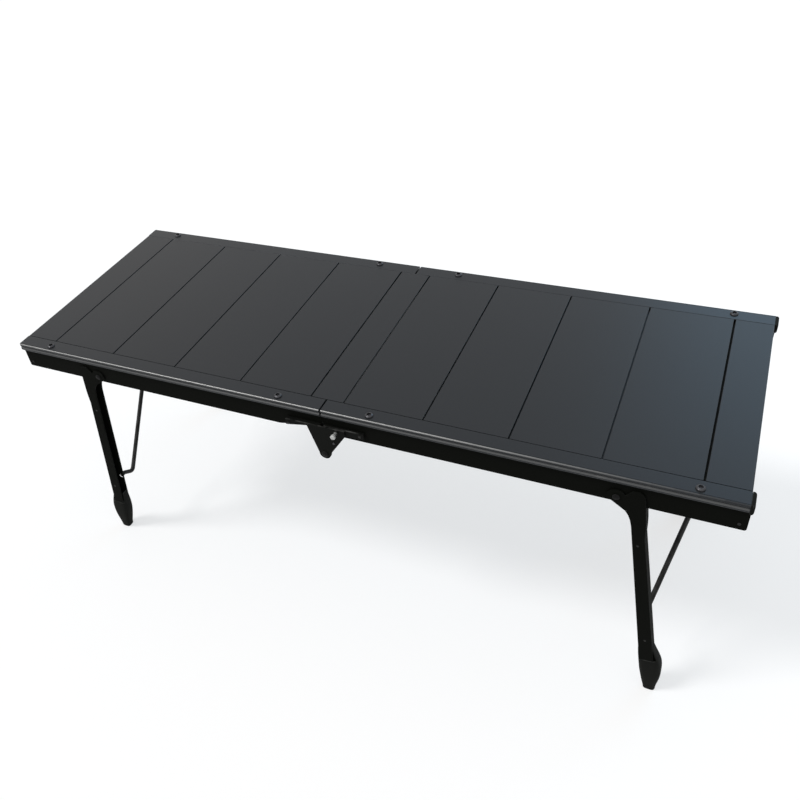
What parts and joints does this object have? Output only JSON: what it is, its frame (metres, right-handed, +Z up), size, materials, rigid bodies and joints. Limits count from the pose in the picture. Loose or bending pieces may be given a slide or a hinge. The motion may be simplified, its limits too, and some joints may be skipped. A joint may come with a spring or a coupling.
{
  "type": "folding camp table",
  "caption": "Low slatted camp table whose two halves fold about a centre hinge, with splayed folding legs and crossed wire stays.",
  "frame": {"origin": "on the floor under the middle of the table", "axes": "+X to the right along the length of the top, +Y from the front to the back, +Z up"},
  "size_m": [1.1828, 0.4538, 0.4582],
  "materials": {
    "graphite_aluminium": "dark graphite anodised, fine satin",
    "black_aluminium": "black satin coat on aluminium",
    "dark_steel": "darkened steel",
    "bright_steel": "plain bright steel",
    "black_plastic": "black moulded plastic"
  },
  "bodies": {
    "left_half": {"centre_strip": "graphite_aluminium", "slat_left_1": "graphite_aluminium", "slat_left_2": "graphite_aluminium", "slat_left_3": "graphite_aluminium", "slat_left_4": "graphite_aluminium", "end_strip_left": "graphite_aluminium", "rail_front_left": "graphite_aluminium", "apron_front_left": "black_aluminium", "rail_cap_front_left": "black_plastic", "rail_screw_front_left_1": "dark_steel", "rail_screw_front_left_2": "dark_steel", "leg_pin_front_left": "dark_steel", "hinge_plate_front_left": "black_aluminium", "hinge_pin_front": "dark_steel", "rail_back_left": "graphite_aluminium", "apron_back_left": "black_aluminium", "rail_cap_back_left": "black_plastic", "rail_screw_back_left_1": "dark_steel", "rail_screw_back_left_2": "dark_steel", "leg_pin_back_left": "dark_steel", "hinge_plate_back_left": "black_aluminium", "hinge_pin_back": "dark_steel", "end_tube_left": "black_aluminium", "centre_tube_left": "black_aluminium", "stay_clip_left": "black_plastic"},
    "right_half": {"slat_right_1": "graphite_aluminium", "slat_right_2": "graphite_aluminium", "slat_right_3": "graphite_aluminium", "slat_right_4": "graphite_aluminium", "end_strip_right": "graphite_aluminium", "rail_front_right": "graphite_aluminium", "apron_front_right": "black_aluminium", "rail_cap_front_right": "black_plastic", "rail_screw_front_right_1": "dark_steel", "rail_screw_front_right_2": "dark_steel", "leg_pin_front_right": "dark_steel", "hinge_plate_front_right": "black_aluminium", "rail_back_right": "graphite_aluminium", "apron_back_right": "black_aluminium", "rail_cap_back_right": "black_plastic", "rail_screw_back_right_1": "dark_steel", "rail_screw_back_right_2": "dark_steel", "leg_pin_back_right": "dark_steel", "hinge_plate_back_right": "black_aluminium", "end_tube_right": "black_aluminium", "centre_tube_right": "black_aluminium", "stay_clip_right": "black_plastic"},
    "front_left_leg": {"leg_front_left": "black_aluminium", "foot_front_left": "black_plastic"},
    "front_right_leg": {"leg_front_right": "black_aluminium", "foot_front_right": "black_plastic"},
    "back_left_leg": {"leg_back_left": "black_aluminium", "foot_back_left": "black_plastic"},
    "back_right_leg": {"leg_back_right": "black_aluminium", "foot_back_right": "black_plastic"},
    "left_stay": {"stay_left": "dark_steel"},
    "right_stay": {"stay_right": "dark_steel"},
    "front_latch": {"latch_pin_front": "bright_steel"},
    "back_latch": {"latch_pin_back": "bright_steel"}
  },
  "joints": [
    {"name": "centre_fold", "type": "hinge", "parent": "left_half", "child": "right_half", "pos_m": [0, 0, 0.37], "axis": [0, 1, 0], "range_deg": [0, 100]},
    {"name": "front_left_leg_fold", "type": "hinge", "parent": "left_half", "child": "front_left_leg", "pos_m": [-0.4306, -0.198, 0.4165], "axis": [0, -1, 0], "range_deg": [0, 98.8]},
    {"name": "front_right_leg_fold", "type": "hinge", "parent": "right_half", "child": "front_right_leg", "pos_m": [0.4306, -0.198, 0.4165], "axis": [0, 1, 0], "range_deg": [0, 98.8]},
    {"name": "back_left_leg_fold", "type": "hinge", "parent": "left_half", "child": "back_left_leg", "pos_m": [-0.4306, 0.198, 0.4165], "axis": [0, -1, 0], "range_deg": [0, 98.8]},
    {"name": "back_right_leg_fold", "type": "hinge", "parent": "right_half", "child": "back_right_leg", "pos_m": [0.4306, 0.198, 0.4165], "axis": [0, 1, 0], "range_deg": [0, 98.8]},
    {"name": "left_stay_swing", "type": "hinge", "parent": "left_half", "child": "left_stay", "pos_m": [-0.5696, 0, 0.4135], "axis": [0, -1, 0], "range_deg": [0, 75]},
    {"name": "right_stay_swing", "type": "hinge", "parent": "right_half", "child": "right_stay", "pos_m": [0.5696, 0, 0.4135], "axis": [0, 1, 0], "range_deg": [0, 75]},
    {"name": "front_latch_push", "type": "slide", "parent": "left_half", "child": "front_latch", "axis": [0, 1, 0], "range_m": [0, 0.003]},
    {"name": "back_latch_push", "type": "slide", "parent": "left_half", "child": "back_latch", "axis": [0, -1, 0], "range_m": [0, 0.003]}
  ]
}
